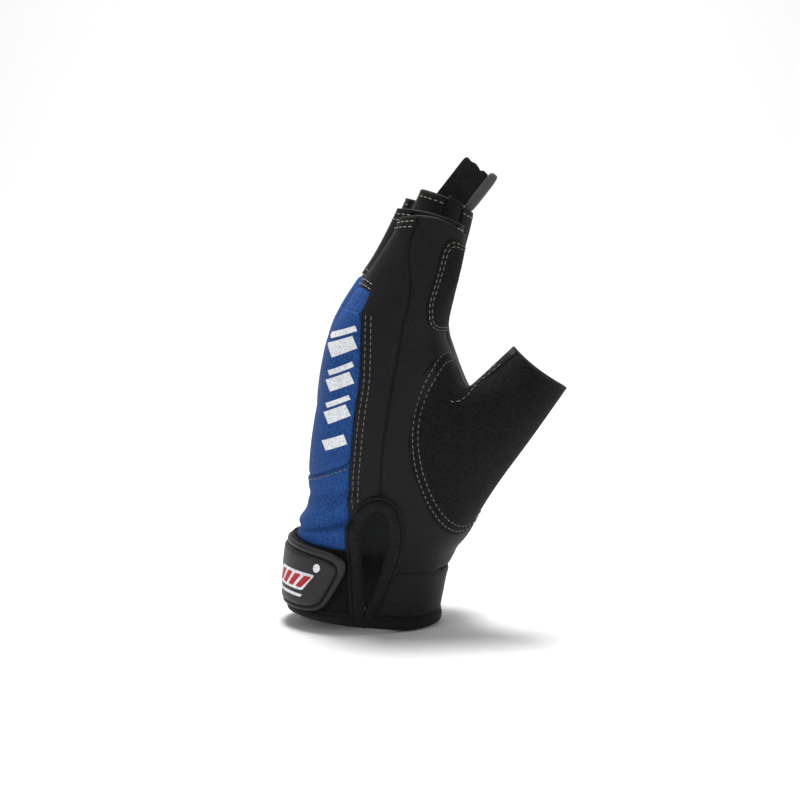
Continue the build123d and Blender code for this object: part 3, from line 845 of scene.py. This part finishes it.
# %% Vent binding
VENT_PROFILE = [(0.8, -2.6), (0.1, -1.8), (-0.2, -0.4), (0.0, 0.9), (0.7, 1.75), (1.8, 2.0), (3.0, 1.9), (3.8, 1.4),
                (4.15, 0.75), (4.5, 0.95), (5.3, 1.0), (5.75, 0.6), (5.8, -0.6), (3.0, -2.6)]
PUCKER, PUCKER_EVERY = 0.16, 2.3
first_half = np.arange(len(vent_line)) < len(vent_line) / 2
kept = vent_line[:, 1] > np.where(first_half, 3.6, 2.6)  # both sides stop on top of the cuff's bound edge
line, outward = vent_line[kept], vent_out[kept]
q, lift = np.array(VENT_PROFILE).T[..., None]
x, z = line[:, 0] + outward[:, 0] * q, line[:, 1] + outward[:, 1] * q
puckers = PUCKER * np.sin(2 * np.pi * lengths(line) / PUCKER_EVERY) * np.exp(-(((q - 2.2) / 1.6) ** 2))
points, _ = on_thumb_side(x, np.maximum(z, 0.2), lift + puckers)
points[..., 2] += np.minimum(z - 0.2, 0)
settle(add_mesh("vent_binding_tape", points, grid_faces(*x.shape, ring=True), tape), "hand", ["vent_binding"])

# %% [markdown]
# The cuff's lower edge has the same tape without puckers, all the way round from one side of the vent to the other.

# %% Bound edge of the cuff
EDGE_PROFILE = [(0.3, -2.8), (0.0, -1.2), (0.0, 0.3), (0.6, 1.2), (1.8, 1.65), (3.4, 1.6), (4.5, 1.15), (4.9, 0.55),
                (5.2, 0.8), (6.1, 0.85), (6.5, 0.4), (6.3, -0.6), (4.0, -2.8)]
around = np.linspace(angle_on_thumb_side(-24.4, 1.0), 360 + angle_on_thumb_side(-24.1, 1.0), 220)
q, lift = np.array(EDGE_PROFILE).T[..., None]
points = hand_at(around, q)
points[..., 2] += foot_of(points[0, :, 0], points[0, :, 1]) - points[0, :, 2]
points = points + unit((points - WRIST_MIDDLE) * [1, 1, 0]) * lift[..., None]
points = np.concatenate([points, points[:1]])
settle(add_mesh("cuff_edge_tape", points, grid_faces(len(EDGE_PROFILE) + 1, 220), tape), "hand",
       ["cuff_binding_palm", "cuff_binding_back"])

# %% [markdown]
# The strap is webbing from the little-finger side that wraps the back of the wrist. Each of its layers is a profile
# carried along its middle line, and its free end is under a moulded rubber tab.

# %% Strap form
STRAP_MIDDLE = 22.6
STRAP_LEAN = 2.6  # how much higher the strap lies at the back than at its tip
HINGE_ANGLE, PEEL_ANGLE, TAB_ANGLE = -178.0, -128.0, -24.0
WEBBING_BEND = ("hand", "strap", (-0.020, 0.030, 0.022), (-0.030, 0.030, 0.022))


def strap_at(angle, height, lift):
    """A point over the cuff at an angle and height, lifted straight out from it."""
    p, n = normal_away(hand_at, angle, height, lambda p: p * [0, 0, 1] + WRIST_MIDDLE)
    return p + n * np.asarray(lift)[..., None]


def strap_middle(angle):
    """The height of the strap's middle line at an angle."""
    return STRAP_MIDDLE + STRAP_LEAN * smooth(-25, -95, angle)


def ribbon(name, start, stop, half, low, high, material, body, nodes):
    """A layer of the strap between two lifts, with a bevelled rim and a slightly crowned face."""
    bevel, columns, thick = 0.7, 120, high - low
    layers = [(bevel * 0.2, low), (0.0, low + 0.35 * thick), (0.0, low + 0.6 * thick),
              (bevel * 0.35, high - 0.12 * thick), (bevel, high), (half * 0.55, high + 0.15), (half, high + 0.2)]
    angle = np.linspace(start, stop, columns)
    points = np.stack([strap_at(angle, strap_middle(angle) + side * max(half - inset, 0.02), lift)
                       for side, rows in ((-1, layers), (1, layers[-2::-1])) for inset, lift in rows])
    first = [row * columns for row in range(len(points))]
    ends = [first[::-1], [corner + columns - 1 for corner in first]]
    faces = grid_faces(len(points), columns, ring=True).tolist() + ends
    return settle(add_mesh(name, points, faces, material), body, nodes)


ribbon("strap_root_webbing", HINGE_ANGLE - 14, PEEL_ANGLE + 3, 10.2, 1.0, 2.5, loop_pile, WEBBING_BEND,
       ["strap_root", "strap_anchor"])
ribbon("strap_end_webbing", PEEL_ANGLE, TAB_ANGLE - 6, 10.2, 1.1, 2.2, loop_pile, "strap_tab", ["strap_web"])
ribbon("strap_hook_patch", PEEL_ANGLE + 4, TAB_ANGLE - 8, 8.8, 0.55, 1.2, rubber, "strap_tab", ["hook_patch"])


# %% [markdown]
# The moulded tab is two pads over the strap, a flange and a raised face, and its small mark is inked pads on that.

# %% The moulded tab
TAB_LEFT, TAB_TOP_RIGHT, TAB_BOTTOM_RIGHT = -132.0, -17.0, -33.0  # angles of the tab's ends


def tab_place(x, y, lift):
    """The tab over the cuff: its free end slants, so its right edge is an angle that changes with the height."""
    right = TAB_TOP_RIGHT + (TAB_BOTTOM_RIGHT - TAB_TOP_RIGHT) * np.clip((0.42 - y) / 1.42, 0, 1) ** 1.15
    angle = TAB_LEFT + (x + 1) / 2 * (right - TAB_LEFT)
    return strap_at(angle, 18.7 + 0.9 * smooth(-20, -90, angle) + 14.2 * y, lift)


TAB_HALF = (27, 13)
FLANGE = [(1.2, 1.8), (0.4, 1.9), (0.0, 2.3), (0.0, 2.9), (0.45, 3.4), (1.1, 3.55), (1.9, 3.4), (2.3, 3.0),
          (3.0, 2.9)]
pad("rubber_tab_flange", tab_place, TAB_HALF, FLANGE, 6, rubber, "strap_tab", ["rubber_tab_base"])
FACE = [(2.6, 2.6), (2.6, 3.2), (2.75, 3.75), (3.3, 4.1), (4.2, 4.2)]
pad("rubber_tab_raised_face", tab_place, TAB_HALF, FACE, 6, rubber, "strap_tab", ["rubber_tab_face"])


def mark(name, place, size, lean, half, layers, power, ink, nodes=()):
    """A small slanted mark on the tab's face, from its place and size in shares of the tab."""
    def spot(x, y, lift):
        return tab_place(place[0] + size[0] * x + lean * y, place[1] + size[1] * y, lift)
    return pad(name, spot, half, layers, power, ink, "strap_tab", nodes)


INK = [(0.1, 4.1), (0.0, 4.3), (0.1, 4.38)]
mark("rubber_tab_emblem", (0.28, 0.02), (0.34, 0.27), 0.05, (9, 4), [(0.2, 4.1), (0.0, 4.3), (0.2, 4.38)], 14,
     white_ink, ["tab_emblem"])
for i in range(4):
    mark(f"tab_emblem_red_bar_{i}", (0.04 + 0.165 * i, 0.02), (0.055, 0.19), 0.05, (2, 3),
         [(0.1, 4.36), (0.0, 4.44), (0.1, 4.5)], 14, red_ink)
mark("tab_emblem_underline", (0.26, -0.42), (0.33, 0.05), 0.01, (9, 1), INK, 14, white_ink)
mark("tab_emblem_dot", (0.66, 0.50), (0.045, 0.13), 0.0, (2, 2), INK, 2, white_ink)


# %% [markdown]
# ## The pull-off tab
# A wet glove clings, so a tab at a fingertip gives the other hand something to pull: a suede strip with a groove
# down its middle and a rubber grip along one edge. Both are rounded slabs, drawn as an outline with a bevel.

# %% Pull-off tab
pull_low, pull_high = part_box("pull_tab_strip")
PULL_FOOT = np.array([13.3, (pull_low.y + pull_high.y) / 2 / MM, 179.0])


def rounded_slab(name, left, right, low, high, thick, radius, material, nodes, groove=0.0, fold=0.0,
                 ragged=0.0):
    """A slab with rounded corners and a soft rim: an outline shrunk in steps towards its middle on both faces. A
    groove runs up both faces at the fold, and a ragged top end has a notch there."""
    turn = np.linspace(0, 2 * np.pi, 97)[:-1]
    half_w, half_h = (right - left) / 2, (high - low) / 2
    rings = []
    for shrink, level in ((0.55, -1.0), (0.12, -0.92), (0.0, -0.5), (0.0, 0.5), (0.12, 0.92), (0.55, 1.0)):
        w, h = half_w - shrink * thick, half_h - shrink * thick
        c, s, r = superellipse(turn, 2 + 2.2 * min(w, h) / radius)
        rings.append(np.stack([w * r * c, h * r * s, np.full(96, level * thick / 2)]))
    smaller = [rings[0] * [[share], [share], [1]] for share in (0.02, 0.5)]
    larger = [rings[-1] * [[share], [share], [1]] for share in (0.8, 0.6, 0.4, 0.2, 0.02)]
    a, b, t = np.stack(smaller + rings + larger, 1)
    a, b = a + (left + right) / 2, b + (low + high) / 2
    t = t - np.sign(t) * groove * np.exp(-(((a - fold) / 0.8) ** 2))
    b = b - ragged * (np.exp(-(((a - fold) / 0.9) ** 2)) + 0.2 * np.sin(1.6 * a)) * smooth(high - 3, high, b)
    points = PULL_FOOT + a[..., None] * TILTED_DOWN + b[..., None] * TILTED_UP + t[..., None] * np.array([0, 1, 0])
    obj = add_mesh(name, points, grid_faces(len(a), 96, True, caps=True), material)
    return settle(obj, "pull_tab", nodes)


# The tab's suede is the paler copy, painted light against the tab's shading.
rounded_slab("pull_tab_suede", -6.2, 6.2, -7.0, 15.2, 2.0, 0.9, suede_lit_paler, ["pull_tab_strip"],
             groove=0.8, fold=2.4, ragged=1.0)
rounded_slab("pull_tab_rubber_grip", 5.9, 10.4, -2.5, 16.8, 2.6, 2.0, grey_rubber, ["pull_tab_grip"])

# %% [markdown]
# ## Stitches
# Each visible seam is a lockstitch: short thread capsules in a row, a little apart, sunk at both ends. A capsule has
# six sides and four rings, so that thousands stay cheap, and all the capsules of a row are one piece.

# %% Stitch rows
# Rows take the darker copy of the cream thread unless they are given another.
def stitch_row(name, line, normal, body, material=darker_seam_thread, pitch=2.45, length=1.7, width=0.42, proud=0.10):
    """Capsules along a line: each is a six-sided body that tapers at both ends, laid along the line."""
    step = lengths(line)
    count = max(2, int(step[-1] / pitch))
    at = (np.arange(count) + 0.5) / count * step[-1]
    middle, n = resample(line, step, at), unit(resample(normal, step, at))
    ahead, behind = np.minimum(at + 0.5, step[-1]), np.maximum(at - 0.5, 0)
    along = unit(resample(line, step, ahead) - resample(line, step, behind))
    ring = np.linspace(0, 2 * np.pi, 7)[:-1]
    shape = np.concatenate([
        np.stack([np.full(6, place * length), size * width / 2 * np.cos(ring),
                  size * width / 2 * np.sin(ring) + sink * width + proud], 1)
        for place, size, sink in ((-0.5, 0.25, -0.30), (-0.28, 0.9, 0.0), (0.28, 0.9, 0.0), (0.5, 0.25, -0.30))])
    points = middle[:, None] + shape @ np.stack([along, np.cross(along, n), n], 1)
    faces = grid_faces(4, 6, True, caps=True)
    all_faces = [[corner + 24 * k for corner in face] for k in range(count) for face in faces]
    return settle(add_mesh(name, points, all_faces, material), body)


def near_stitches(name, xz, offset=0.0, lift=0.1, **more):
    """A row on the thumb side along a line of (x, z), moved sideways by an offset."""
    line = spaced(np.asarray(xz, float), 1.0)
    tangent = unit(np.gradient(line, axis=0))
    line = line + offset * np.stack([tangent[:, 1], -tangent[:, 0]], 1)
    p, n = on_thumb_side(line[:, 0], line[:, 1], lift)
    return stitch_row(name, p, n, "hand", **more)


heights = np.linspace(52.5, HAND_TOP, 40)
for row, distance in enumerate((2.1, 4.3)):
    near_stitches(f"back_seam_stitches_{row}", np.stack([seam_x(BACK_SEAM, heights), heights], 1), distance)
across_back = np.linspace(FAR_BACK + 2, back_edge(70.0) - 1, 160)
across = hand_at(across_back, yoke(across_back) - 1.7)
outward = unit(across - np.array([-10.0, 0, 66]))
stitch_row("yoke_stitches", across + outward * (slack(across) + 0.1)[:, None], outward, "hand")
vent_stitch = vent_line + vent_out * 4.15
x, z = vent_stitch[vent_stitch[:, 1] > 8.5].T
stitch_row("vent_binding_stitches", *on_thumb_side(x, z, 0.85), "hand", black_thread, pitch=2.1, length=1.5,
           width=0.6)
x = np.linspace(-16.5, 24, 120)
near_stitches("cuff_hem_stitches", np.stack([x, 4.9 + foot_of(x, -30 + 0 * x)], 1), lift=0.95,
              material=black_thread, width=0.55)


def thumb_stitches(name, degrees, share):
    """A row on the thumb along a line of angles and shares."""
    p, n = lifted(thumb_at, np.radians(degrees), share, thumb_core(share[:, None], 1)[:, 0], steps=(0.01, 0.01))
    return stitch_row(name, p, n, THUMB_BEND)


degrees = np.linspace(THUMB_FAR, 94, 260)
for row, share in enumerate((0.035, 0.076)):
    ending = 0.002 + 0.013 * row  # both rows draw in to the seam towards the top
    thumb_stitches(f"thenar_stitches_{row}", degrees, share + (ending - share) * smooth(12, 78, degrees))
shares = np.linspace(0.40, 0.97, 160)
for row, shift in enumerate((6.0, 17.0)):
    thumb_stitches(f"thumb_edge_stitches_{row}", thumb_seam(shares) + shift, shares)


def thumb_surface(angle, share):
    """The thumb with its angle in degrees."""
    return thumb_at(np.radians(angle), share)


CREASE = [(9.8, 97.3), (11.8, 96.4), (14.2, 97.0), (17.1, 98.9), (19.1, 101.0), (21.2, 103.0)]
crease = resample(np.stack(lay(thumb_surface, CREASE, (50, 0.35)), 1), np.arange(6), np.linspace(0, 5, 60))
thumb_stitches("web_crease_stitches", *crease.T)


def finger_stitches(name, finger, degrees, share):
    """A row on a finger along a line of angles and shares."""
    inner = finger_core(finger, share[:, None], 1)[:, 0]
    p, n = lifted(partial(finger_at, finger), degrees, share, inner, 0.1)
    return stitch_row(name, p, n, BENDS[finger], cream_thread, pitch=2.3)


for finger in FINGERS:
    near, palmar, far, behind_far = CORNERS[finger]
    for row, share in enumerate((0.955, 0.90)[: 2 if finger in ("index", "middle") else 1]):
        degrees = np.linspace(behind_far - 360 + 3, INDEX_SIDE_HEM - 3 if finger == "index" else near - 3, 60)
        finger_stitches(f"{finger}_hem_stitches_{row}", finger, degrees, np.full(60, share))
    finger_stitches(f"{finger}_palm_hem_stitches", finger, np.linspace(palmar, far, 60), np.full(60, 0.955))
    for row, shift in enumerate((0.025, 0.075)):
        degrees = np.linspace(behind_far - 360 + 2, near, 60)
        finger_stitches(f"{finger}_knuckle_stitches_{row}", finger, degrees, blue_arch(finger)(degrees) + shift)
for row, inset in enumerate((0.9, 2.1)):
    x, y = rounded(5, 240)
    x, y = x * (1 - inset / INDEX_PAD_HALF[0]), y * (1 - inset / INDEX_PAD_HALF[1])
    line = index_pad_place(x, y, 0.85)
    stitch_row(f"index_pad_stitches_{row}", line, index_pad_place(x, y, 1.85) - line, BENDS["index"])
print("meshes made", len(bpy.data.meshes))

# %% [markdown]
# ## The printed flash
# A flash of slanted bars runs up the back. Ink is only a film, so each bar is a sheet a tenth of a millimetre or
# two proud of the knit, laid on the same form as the panel below it.

# %% Printed bars
def printed_bar(name, ends, width):
    """A slanted bar of ink: its ends are (share across the print, height), laid on the thumb side of the back."""
    share, z = np.array(ends).T
    left, right = -40.3 + 0.07 * (z - 76), -31.9 + 0.10 * (z - 76)
    start, stop = np.stack([left + share * (right - left), z], 1)
    along = unit(stop - start)
    side = np.linspace(-0.5, 0.5, 7)[:, None, None] * width * np.array([-along[1], along[0]])
    flat = start + np.linspace(0, 1, 13)[:, None] * (stop - start) + side
    p, n = on_thumb_side(flat[..., 0], flat[..., 1], 0.17)
    flip = np.sum(np.cross(p[1:, :-1] - p[:-1, :-1], p[:-1, 1:] - p[:-1, :-1]) * n[:-1, :-1]) > 0
    return settle(add_mesh(name, p, grid_faces(7, 13, flip=bool(flip)), white_ink), "hand")


FLASH = {"bar_low": ([(-0.05, 77.6), (1.0, 81.4)], 4.2)}  # a slanted bar, then pairs of a broad and a fine one
for k, low in enumerate((89.0, 102.4, 115.8)):
    FLASH[f"broad_{k}"] = ([(-0.02, low), (1.0, low + 4.4)], 5.0)
    FLASH[f"fine_{k}"] = ([(-0.02, low + 5.2), (1.0, low + 9.6)], 2.0)
for name, (ends, width) in FLASH.items():
    printed_bar(f"back_print_{name}", ends, width)

# %% [markdown]
# ## Light, floor and camera
# A white sweep, one large soft light from above and a fill on each side give the even look of a catalogue page.

# %% Studio
def area_light(name, place, aim, size, power):
    """A round soft light of a diameter in metres and a power in watts, at a place and aimed at another."""
    light = bpy.data.lights.new(name, "AREA")
    light.shape, light.size, light.energy = "DISK", size, power
    lamp = bpy.data.objects.new(name, light)
    bpy.context.scene.collection.objects.link(lamp)
    lamp.location = place
    direction = np.array(aim) - np.array(place)
    lamp.rotation_euler = Vector(direction).to_track_quat("-Z", "Y").to_euler()


sweep = [(-2.0, 0.0), (0.9, 0.0)]
sweep += [(0.9 + 0.6 * math.sin(a), 0.6 - 0.6 * math.cos(a)) for a in np.linspace(0, math.pi / 2, 17)[1:]]
sweep += [(1.5, 3.0)]
sweep_points = [(x, y, z) for y, z in sweep for x in (-3.0, 3.0)]
floor_mesh = bpy.data.meshes.new("floor")
floor_faces = [(2 * i, 2 * i + 1, 2 * i + 3, 2 * i + 2) for i in range(len(sweep) - 1)]
floor_mesh.from_pydata(sweep_points, [], floor_faces)
floor_mesh.polygons.foreach_set("use_smooth", [True] * len(floor_mesh.polygons))
floor = bpy.data.objects.new("floor", floor_mesh)
bpy.context.scene.collection.objects.link(floor)
floor_material, floor_shader, _ = new_material("white_paper_sweep", "#f6f6f6", 0.9)
floor_mesh.materials.append(floor_material)

world = bpy.data.worlds.new("studio")
bpy.context.scene.world = world
world.use_nodes = True
world.node_tree.nodes["Background"].inputs["Color"].default_value = (1, 1, 1, 1)
world.node_tree.nodes["Background"].inputs["Strength"].default_value = 0.22
area_light("softbox_above", (-0.02, 0.10, 1.05), (0, 0, 0.0), 0.45, 11.5)
area_light("softbox_front_left", (-0.9, -1.0, 0.6), (0, 0, 0.1), 0.7, 3.0)
area_light("softbox_front_right", (0.9, -0.9, 0.5), (0, 0, 0.1), 0.7, 3.0)
area_light("backdrop_wash", (0.0, 0.5, 1.7), (0, 1.5, 0.5), 1.2, 16)

camera_data = bpy.data.cameras.new("camera")
camera_data.lens, camera_data.sensor_width = 85, 36
camera = bpy.data.objects.new("camera", camera_data)
bpy.context.scene.collection.objects.link(camera)
elevation, distance = math.radians(6), 0.79
target = np.array([-0.0097, 0.0, 0.0933])
camera.location = target + distance * np.array([0, -math.cos(elevation), math.sin(elevation)])
camera.rotation_euler = (math.pi / 2 - elevation, 0, 0)
bpy.context.scene.camera = camera
bpy.context.scene.view_settings.view_transform = "Standard"
